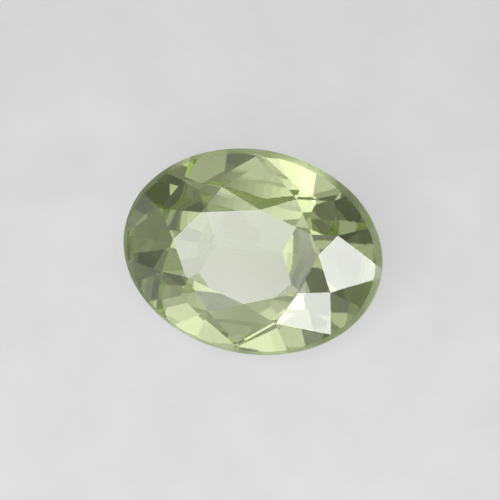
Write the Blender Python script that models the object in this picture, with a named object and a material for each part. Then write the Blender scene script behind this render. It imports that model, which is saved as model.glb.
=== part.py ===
"""Oval cut sapphire: one loose stone with a brilliant crown and a plain cut pavilion.

The stone is cut as a lapidary cuts it. An oval blank is ground flat along one facet
plane after another, first the crown and then the pavilion. The finished
stone lies on a facet at the front of its pavilion, so that its table leans forward.
"""
import math

import bmesh
import bpy
from mathutils import Matrix, Vector

# Driving sizes, in millimetres. X runs along the stone, Y across it, and Z out of the
# table from the upper edge of the girdle
LENGTH = 7.0
WIDTH = 5.45
CROWN_HEIGHT = 1.09
STAR_TIP_HEIGHT = 0.80
BLANK_DEPTH = 4.0
GIRDLE_SIDES = 96
SAME_POINT = 0.002
MM = 0.001

# Corners of the table, clockwise from its right end as seen from above
TABLE_CORNERS = [
    (1.83, 0.29),
    (1.51, -0.79),
    (0.13, -1.38),
    (-1.53, -0.97),
    (-2.06, -0.07),
    (-1.47, 0.79),
    (0.06, 1.17),
    (1.55, 0.80),
]

# Outer tips of the stars. Each lies beyond the table edge that starts at the same corner
STAR_TIPS = [
    (2.32, -0.62),
    (1.05, -1.73),
    (-0.79, -1.77),
    (-2.22, -0.98),
    (-2.59, 0.66),
    (-1.08, 1.56),
    (0.94, 1.63),
    (2.22, 0.91),
]

# Facets of the pavilion, from the girdle down. Each has an azimuth and an angle to the
# girdle plane, in degrees, and a distance from the centre, and is cut in each quarter
FLANK_FACET = (69, 39.8, 2.05)
END_FACET = (16, 35.6, 2.18)
KEEL_FACET = (90, 26.7, 1.85)
PAVILION_FACETS = (FLANK_FACET, END_FACET, KEEL_FACET)

# The pavilion is cut slightly out of true with the crown, in degrees and millimetres
PAVILION_TWIST = 4.7
KEEL_OFFSET = (-0.16, 0.06)

# The stone lies on the front one of its two keel facets
REST_AZIMUTH = -90
REST_ANGLE = KEEL_FACET[1]


def oval_point(angle):
    """Point of the girdle outline at a parameter angle."""
    return Vector((LENGTH / 2 * math.cos(angle), WIDTH / 2 * math.sin(angle), 0.0))


def oval_blank():
    """Upright oval cylinder that holds the whole stone. Its flat top is the table."""
    bm = bmesh.new()
    bmesh.ops.create_cone(
        bm, cap_ends=True, segments=GIRDLE_SIDES, radius1=0.5, radius2=0.5, depth=1.0
    )
    height = CROWN_HEIGHT + BLANK_DEPTH
    bmesh.ops.scale(bm, vec=(LENGTH, WIDTH, height), verts=bm.verts)
    bmesh.ops.translate(bm, vec=(0.0, 0.0, CROWN_HEIGHT - height / 2), verts=bm.verts)
    return bm


def grind(bm, point, normal):
    """Take off all that lies outside one facet plane, and close the stone with that facet."""
    everything = bm.verts[:] + bm.edges[:] + bm.faces[:]
    cut = bmesh.ops.bisect_plane(
        bm, geom=everything, dist=1e-6, plane_co=point, plane_no=normal, clear_outer=True
    )
    rim = [item for item in cut["geom_cut"] if isinstance(item, bmesh.types.BMEdge)]
    if rim:
        bmesh.ops.holes_fill(bm, edges=rim, sides=0)


def plane_through(first, second, third):
    """A point and the upward normal of the plane through three points of the crown."""
    normal = (second - first).cross(third - first).normalized()
    if normal.z < 0:
        normal.negate()
    return first, normal


def crown_planes():
    """Stars, mains and the pairs of upper girdle facets, as pairs of point and normal."""
    corners = [Vector((x, y, CROWN_HEIGHT)) for x, y in TABLE_CORNERS]
    tips = [Vector((x, y, STAR_TIP_HEIGHT)) for x, y in STAR_TIPS]
    count = len(corners)
    planes = []
    main_feet = []
    for k in range(count):
        planes.append(plane_through(corners[k], corners[(k + 1) % count], tips[k]))
        main = plane_through(corners[k], tips[k], tips[k - 1])
        planes.append(main)
        slope = main[1]
        main_feet.append(math.atan2(WIDTH * slope.y, LENGTH * slope.x))
    for k in range(count):
        start = main_feet[k]
        end = main_feet[(k + 1) % count]
        if end > start:
            end -= 2 * math.pi
        middle = oval_point((start + end) / 2)
        for foot in (start, end):
            planes.append(plane_through(tips[k], oval_point(foot), middle))
    return planes


def pavilion_normal(azimuth, angle):
    """Direction out of a pavilion facet that leans by an angle from the girdle plane."""
    azimuth = math.radians(azimuth + PAVILION_TWIST)
    angle = math.radians(angle)
    level = math.sin(angle)
    return Vector((level * math.cos(azimuth), level * math.sin(azimuth), -math.cos(angle)))


def pavilion_planes():
    """Every pavilion facet, mirrored from its quarter of the stone into the others."""
    keel = Vector((KEEL_OFFSET[0], KEEL_OFFSET[1], 0.0))
    planes = []
    for azimuth, angle, distance in PAVILION_FACETS:
        mirrored = {azimuth % 360, (180 - azimuth) % 360, (180 + azimuth) % 360, -azimuth % 360}
        for turned in sorted(mirrored):
            normal = pavilion_normal(turned, angle)
            planes.append((keel + normal * distance, normal))
    return planes


def cut_stone():
    """The finished stone, still with its table level."""
    bm = oval_blank()
    for point, normal in crown_planes() + pavilion_planes():
        grind(bm, point, normal)
    bmesh.ops.remove_doubles(bm, verts=bm.verts, dist=SAME_POINT)
    bmesh.ops.dissolve_degenerate(bm, edges=bm.edges, dist=SAME_POINT)
    bmesh.ops.recalc_face_normals(bm, faces=bm.faces)
    return bm


def resting_turn():
    """Rotation that puts the resting facet face down and the length of the stone along X."""
    down = pavilion_normal(REST_AZIMUTH, REST_ANGLE)
    tilt = down.rotation_difference(Vector((0.0, 0.0, -1.0))).to_matrix()
    length = tilt @ Vector((1.0, 0.0, 0.0))
    swing = Matrix.Rotation(-math.atan2(length.y, length.x), 3, "Z")
    return swing @ tilt


def lay_down(bm):
    """Turn the stone onto its resting facet, with the middle of its base at the origin."""
    bm.transform(Matrix.Scale(MM, 4) @ resting_turn().to_4x4())
    low = Vector([min(v.co[i] for v in bm.verts) for i in range(3)])
    high = Vector([max(v.co[i] for v in bm.verts) for i in range(3)])
    base = Vector(((low.x + high.x) / 2, (low.y + high.y) / 2, low.z))
    bmesh.ops.translate(bm, vec=-base, verts=bm.verts)


def sapphire_material():
    """Clear pale green stone."""
    material = bpy.data.materials.new("sapphire")
    material.use_nodes = True
    shader = material.node_tree.nodes["Principled BSDF"]
    shader.inputs["Base Color"].default_value = (0.62, 0.72, 0.42, 1.0)
    shader.inputs["Roughness"].default_value = 0.0
    shader.inputs["Metallic"].default_value = 0.0
    shader.inputs["IOR"].default_value = 1.77
    shader.inputs["Transmission Weight"].default_value = 1.0
    return material


def build():
    """The stone as one object in its own collection."""
    for old in list(bpy.data.objects):
        bpy.data.objects.remove(old, do_unlink=True)
    collection = bpy.data.collections.new("oval_cut_sapphire")
    bpy.context.scene.collection.children.link(collection)
    bm = cut_stone()
    lay_down(bm)
    mesh = bpy.data.meshes.new("sapphire")
    bm.to_mesh(mesh)
    bm.free()
    mesh.materials.append(sapphire_material())
    stone = bpy.data.objects.new("sapphire", mesh)
    collection.objects.link(stone)


build()
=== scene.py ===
import math

import bmesh
import bpy
from mathutils import Matrix, Vector

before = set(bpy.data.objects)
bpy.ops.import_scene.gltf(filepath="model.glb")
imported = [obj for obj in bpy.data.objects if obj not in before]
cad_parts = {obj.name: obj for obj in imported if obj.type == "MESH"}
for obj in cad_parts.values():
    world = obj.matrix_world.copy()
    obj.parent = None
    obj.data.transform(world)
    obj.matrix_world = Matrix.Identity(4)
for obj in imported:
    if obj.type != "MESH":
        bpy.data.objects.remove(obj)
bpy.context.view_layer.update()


# The sapphire. One loose, clear, pale green crystal, cut to an oval, ground in flat facets and
# polished. The thin girdle and a narrow edge along it keep the grey, matt finish of the
# grinding wheel, which also left faint lines on the facets.
MM = 0.001
WHITE = (1.0, 1.0, 1.0, 1.0)
STONE_OPTICAL_INDEX = 1.77
STONE_TINT = (0.62, 0.75, 0.10, 1.0)
STONE_TINT_DENSITY = 130.0
MATT_TONE = (0.86, 0.90, 0.78, 1.0)
MATT_ROUGHNESS = 0.25
MATT_ROUGHNESS_SPREAD = 0.25

# The stone's own axes, and the middle and the half sizes of its oval
TABLE_DIRECTION = (0.033, -0.448, 0.893)
LENGTH_DIRECTION = (0.9993, 0.0, -0.0368)
WIDTH_DIRECTION = (0.0165, 0.894, 0.4478)
GIRDLE_MIDDLE = (-0.03 * MM, -0.15 * MM, 1.8 * MM)
HALF_LENGTH = 3.5 * MM
HALF_WIDTH = 2.725 * MM

# The girdle stands upright to the table, to within this slope. The matt edge starts at this
# share of the oval's half sizes, squared
GIRDLE_SLOPE = 0.2
MATT_EDGE_START = 0.925

# Waves per metre of the wheel's lines, which run along the stone, and of the matt grain
WHEEL_LINE_WAVES = (260.0, 9000.0, 9000.0)
WHEEL_LINE_DETAIL = 3.0
WHEEL_LINE_HEIGHT = 0.45
GRAIN_WAVES = 9000.0
GRAIN_DETAIL = 4.0
GRAIN_HEIGHT = 2.0
RELIEF_STRENGTH = 0.05
RELIEF_DEPTH = 0.00002


class Wire:
    """A shader socket that can be used in sums, products and comparisons."""

    def __init__(self, tree, socket):
        self.tree = tree
        self.socket = socket

    def node(self, kind, settings=None, sockets=None, output=0):
        """Add any node: its settings come first, then the values or wires of its sockets."""
        made = self.tree.nodes.new(kind)
        for name, value in (settings or {}).items():
            setattr(made, name, value)
        for name, value in (sockets or {}).items():
            if isinstance(value, Wire):
                self.tree.links.new(value.socket, made.inputs[name])
            else:
                made.inputs[name].default_value = value
        return Wire(self.tree, made.outputs[output] if made.outputs else None)

    def sum_node(self, operation, first, second):
        """One step of arithmetic between two wires or numbers."""
        return self.node("ShaderNodeMath", {"operation": operation}, {0: first, 1: second})

    def __add__(self, other):
        return self.sum_node("ADD", self, other)

    def __radd__(self, other):
        return self.sum_node("ADD", other, self)

    def __sub__(self, other):
        return self.sum_node("SUBTRACT", self, other)

    def __rsub__(self, other):
        return self.sum_node("SUBTRACT", other, self)

    def __mul__(self, other):
        return self.sum_node("MULTIPLY", self, other)

    def __rmul__(self, other):
        return self.sum_node("MULTIPLY", other, self)

    def __lt__(self, other):
        return self.sum_node("LESS_THAN", self, other)

    def __gt__(self, other):
        return self.sum_node("GREATER_THAN", self, other)

    def __abs__(self):
        return self.sum_node("ABSOLUTE", self, 0.0)

    def either(self, other):
        """The larger of two wires."""
        return self.sum_node("MAXIMUM", self, other)

    def exponential(self):
        """The number e, raised to this wire."""
        return self.sum_node("EXPONENT", self, 0.0)

    def measured_from(self, point):
        """A place as a vector from a fixed point."""
        sockets = {0: self, 1: point}
        return self.node("ShaderNodeVectorMath", {"operation": "SUBTRACT"}, sockets)

    def dot(self, direction):
        """The part of a vector that lies along a direction."""
        sockets = {0: self, 1: direction}
        return self.node("ShaderNodeVectorMath", {"operation": "DOT_PRODUCT"}, sockets, "Value")

    def mix(self, first, second):
        """Blend two colours by this wire."""
        return self.node("ShaderNodeMix", {"data_type": "RGBA"}, {0: self, 6: first, 7: second}, 2)


def start_finish(name):
    """A new empty material, and a wire to start its shader from."""
    finish = bpy.data.materials.new(name)
    finish.use_nodes = True
    finish.node_tree.nodes.clear()
    return finish, Wire(finish.node_tree, None)


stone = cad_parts["sapphire"]
polished_stone, pen = start_finish("sapphire_polished")
outward = pen.node("ShaderNodeTexCoord", output="Normal")
place = pen.node("ShaderNodeTexCoord", output="Object")
girdle = abs(outward.dot(TABLE_DIRECTION)) < GIRDLE_SLOPE
from_middle = place.measured_from(GIRDLE_MIDDLE)
lengthwise = from_middle.dot(LENGTH_DIRECTION) * (1 / HALF_LENGTH)
crosswise = from_middle.dot(WIDTH_DIRECTION) * (1 / HALF_WIDTH)
edge = lengthwise * lengthwise + crosswise * crosswise > MATT_EDGE_START
matt = girdle.either(edge)
along = pen.node("ShaderNodeMapping", {}, {"Vector": place, "Scale": WHEEL_LINE_WAVES})
wheel_lines = pen.node(
    "ShaderNodeTexNoise", {}, {"Vector": along, "Scale": 1.0, "Detail": WHEEL_LINE_DETAIL}
)
grain = pen.node(
    "ShaderNodeTexNoise", {}, {"Vector": place, "Scale": GRAIN_WAVES, "Detail": GRAIN_DETAIL}
)
relief = wheel_lines * WHEEL_LINE_HEIGHT + matt * grain * GRAIN_HEIGHT
surface_lines = pen.node(
    "ShaderNodeBump", {}, {"Height": relief, "Strength": RELIEF_STRENGTH, "Distance": RELIEF_DEPTH}
)
body = pen.node(
    "ShaderNodeBsdfPrincipled",
    {},
    {
        "Base Color": matt.mix(WHITE, MATT_TONE),
        "Roughness": matt * (MATT_ROUGHNESS + grain * MATT_ROUGHNESS_SPREAD),
        "IOR": STONE_OPTICAL_INDEX,
        "Transmission Weight": 1.0,
        "Normal": surface_lines,
    },
)
tint = pen.node(
    "ShaderNodeVolumeAbsorption", {}, {"Color": STONE_TINT, "Density": STONE_TINT_DENSITY}
)
pen.node("ShaderNodeOutputMaterial", {}, {"Surface": body, "Volume": tint})
for slot in stone.material_slots:
    slot.material = polished_stone


# The surface that the stone lies on. A plain, pale, matt sheet, a hair's breadth under the
# stone, with the faint unevenness of soft paper.
FLOOR_RADIUS = 1.5
FLOOR_SIDES = 96
FLOOR_GAP = 0.00002
PAPER_DARK = (0.74, 0.74, 0.745, 1.0)
PAPER_LIGHT = (0.86, 0.86, 0.86, 1.0)
PAPER_WAVES = 450.0
PAPER_DETAIL = 4.0


def show_mesh(name, bm, finish):
    """Turn a finished shape into an object with one material, and put it in the scene."""
    mesh = bpy.data.meshes.new(name)
    bm.to_mesh(mesh)
    bm.free()
    mesh.materials.append(finish)
    shown = bpy.data.objects.new(name, mesh)
    bpy.context.scene.collection.objects.link(shown)
    return shown


soft_paper, pen = start_finish("soft_paper")
place = pen.node("ShaderNodeTexCoord", output="Object")
mottle = pen.node(
    "ShaderNodeTexNoise", {}, {"Vector": place, "Scale": PAPER_WAVES, "Detail": PAPER_DETAIL}
)
paper = pen.node(
    "ShaderNodeBsdfPrincipled",
    {},
    {
        "Base Color": mottle.mix(PAPER_DARK, PAPER_LIGHT),
        "Roughness": 1.0,
        "Specular IOR Level": 0.0,
    },
)
pen.node("ShaderNodeOutputMaterial", {}, {"Surface": paper})
floor_bm = bmesh.new()
bmesh.ops.create_circle(floor_bm, cap_ends=True, segments=FLOOR_SIDES, radius=FLOOR_RADIUS)
bmesh.ops.translate(floor_bm, vec=(0.0, 0.0, -FLOOR_GAP), verts=floor_bm.verts)
floor = show_mesh("floor", floor_bm, soft_paper)


# Studio light. The stone sees a dim room with soft glowing panels round it. Three bright
# panels are mirrored, one by the table and two by the large facets on the right. A small lamp
# close in front lights the floor, and a broad, soft one gives the faint shadow.
ROOM_LIGHT = 0.09

# Azimuth, elevation and brightness of each soft panel, and how sharply they fade outwards
PANEL_SPREAD = 35.0
PANELS = [
    (53, 75, 1.66),
    (158, 65, 1.77),
    (-150, 61, 0.93),
    (-12, 60, 0.78),
    (-25, 47, 0.73),
    (-37, 37, 0.30),
    (-122, 36, 1.95),
    (-82, 25, 0.95),
    (108, 23, 0.75),
    (63, 12, 0.95),
    (-159, 11, 0.50),
    (-107, 9, 2.50),
    (83, 7, 0.50),
]

# Facet centre in millimetres, azimuth and elevation of the panel, its distance and radius
# in millimetres, and its brightness. Most of the table's panel is a little dimmer, so that
# the table is clearer towards its right end
MIRRORED_PANELS = {
    "right": ((2.8, -0.2, 2.2), -11, 22, 300, 55, 8.5),
    "front_right": ((1.85, -1.5, 1.85), -56, -3, 16, 2.8, 7.6),
    "table": ((0.0, -0.6, 2.8), -96, 61, 500, 50, 3.0),
}
PANEL_SIDES = 48
DIMMED_PANEL = "table"
DIMMED_FROM = -26.0 * MM
DIMMED_TO = -21.0 * MM
DIMMED_SHARE = 0.8

# Direction of each lamp, its distance and width in metres, its power, and whether it casts a
# shadow
LAMPS = {
    "lamp_even": ((0.0, -0.03, 0.11), 0.114, 0.01, 0.0965, False),
    "lamp_soft": ((-0.1, -0.5, 0.85), 0.8, 0.9, 1.6, True),
}


def towards(azimuth, elevation):
    """Direction from the stone, counted in degrees from +X and up from the floor."""
    azimuth = math.radians(azimuth)
    elevation = math.radians(elevation)
    level = math.cos(elevation)
    return Vector((level * math.cos(azimuth), level * math.sin(azimuth), math.sin(elevation)))


def let_glow(finish, pen, strength):
    """Make a started material glow white, by a number or a wire, and do nothing else."""
    shine = pen.node("ShaderNodeEmission", {}, {"Color": WHITE, "Strength": strength})
    pen.node("ShaderNodeOutputMaterial", {}, {"Surface": shine})
    finish.cycles.emission_sampling = "NONE"


room = bpy.data.worlds.new("room")
room.use_nodes = True
room.node_tree.nodes.clear()
bpy.context.scene.world = room
room.cycles_visibility.diffuse = False
room.cycles.sampling_method = "NONE"
pen = Wire(room.node_tree, None)
looking = pen.node("ShaderNodeTexCoord", output="Generated")
glow = ROOM_LIGHT
for azimuth, elevation, brightness in PANELS:
    facing = looking.dot(towards(azimuth, elevation))
    glow = glow + brightness * ((facing - 1.0) * PANEL_SPREAD).exponential()
sky = pen.node("ShaderNodeBackground", {}, {"Color": WHITE, "Strength": glow})
pen.node("ShaderNodeOutputWorld", {}, {"Surface": sky})

for panel_name, measures in MIRRORED_PANELS.items():
    facet_centre, azimuth, elevation, distance, radius, brightness = measures
    panel_light, pen = start_finish("panel_light_" + panel_name)
    if panel_name == DIMMED_PANEL:
        spot = pen.node("ShaderNodeTexCoord", output="Object")
        across = pen.node("ShaderNodeSeparateXYZ", {}, {"Vector": spot})
        limits = {
            "Value": across,
            "From Min": DIMMED_FROM,
            "From Max": DIMMED_TO,
            "To Min": brightness,
            "To Max": brightness * DIMMED_SHARE,
        }
        brightness = pen.node("ShaderNodeMapRange", {"interpolation_type": "SMOOTHSTEP"}, limits)
    let_glow(panel_light, pen, brightness)
    panel_bm = bmesh.new()
    bmesh.ops.create_circle(panel_bm, cap_ends=True, segments=PANEL_SIDES, radius=radius * MM)
    direction = towards(azimuth, elevation)
    turn = (-direction).to_track_quat("Z", "Y").to_matrix().to_4x4()
    position = Vector(facet_centre) * MM + direction * distance * MM
    panel_bm.transform(Matrix.Translation(position) @ turn)
    panel = show_mesh("panel_" + panel_name, panel_bm, panel_light)
    panel.visible_camera = False
    panel.visible_diffuse = False
    panel.visible_transmission = False

for lamp_name, (direction, distance, width, power, casts_shadow) in LAMPS.items():
    direction = Vector(direction).normalized()
    lamp_data = bpy.data.lights.new(lamp_name, "AREA")
    lamp_data.shape = "DISK"
    lamp_data.size = width
    lamp_data.energy = power
    lamp_data.use_shadow = casts_shadow
    lamp = bpy.data.objects.new(lamp_name, lamp_data)
    bpy.context.scene.collection.objects.link(lamp)
    lamp.location = direction * distance
    lamp.rotation_euler = direction.to_track_quat("Z", "Y").to_euler()
    lamp.visible_camera = False
    lamp.visible_glossy = False
    lamp.visible_transmission = False


# The backdrop. A wide, plain, pale dome round the whole studio, where the floor ends. It
# lights nothing, and only the camera sees it.
BACKDROP_RADIUS = 1.45
BACKDROP_SEGMENTS = 48
BACKDROP_RINGS = 24
BACKDROP_TONE = 0.69

backdrop_paint, pen = start_finish("backdrop_paint")
let_glow(backdrop_paint, pen, BACKDROP_TONE)
backdrop_bm = bmesh.new()
bmesh.ops.create_uvsphere(
    backdrop_bm, u_segments=BACKDROP_SEGMENTS, v_segments=BACKDROP_RINGS, radius=BACKDROP_RADIUS
)
bmesh.ops.reverse_faces(backdrop_bm, faces=backdrop_bm.faces)
backdrop = show_mesh("backdrop", backdrop_bm, backdrop_paint)
for seen_by in ("visible_diffuse", "visible_glossy", "visible_transmission", "visible_shadow"):
    setattr(backdrop, seen_by, False)


# The camera. It stands above and in front of the stone, a little to its right, and faces
# the table almost squarely.
CAMERA_DIRECTION = (0.115, -0.4164, 0.9019)
CAMERA_DISTANCE = 0.3
NEAREST_SEEN = 0.01
PICTURE_WIDTH = 13.36 * MM
PICTURE_ROLL = -3.3
PICTURE_CENTRE = (-0.07 * MM, -0.1 * MM, 1.84 * MM)
LIGHT_BOUNCES = 32

scene = bpy.context.scene
to_camera = Vector(CAMERA_DIRECTION).normalized()
camera_data = bpy.data.cameras.new("camera")
camera_data.angle = 2 * math.atan(PICTURE_WIDTH / 2 / CAMERA_DISTANCE)
camera_data.clip_start = NEAREST_SEEN
camera = bpy.data.objects.new("camera", camera_data)
scene.collection.objects.link(camera)
aim = to_camera.to_track_quat("Z", "Y").to_matrix().to_4x4()
roll = Matrix.Rotation(math.radians(PICTURE_ROLL), 4, "Z")
position = Vector(PICTURE_CENTRE) + to_camera * CAMERA_DISTANCE
camera.matrix_world = Matrix.Translation(position) @ aim @ roll
scene.camera = camera
scene.view_settings.view_transform = "Standard"
scene.cycles.max_bounces = LIGHT_BOUNCES
scene.cycles.transmission_bounces = LIGHT_BOUNCES
scene.cycles.glossy_bounces = LIGHT_BOUNCES
scene.cycles.caustics_reflective = False
scene.cycles.caustics_refractive = False
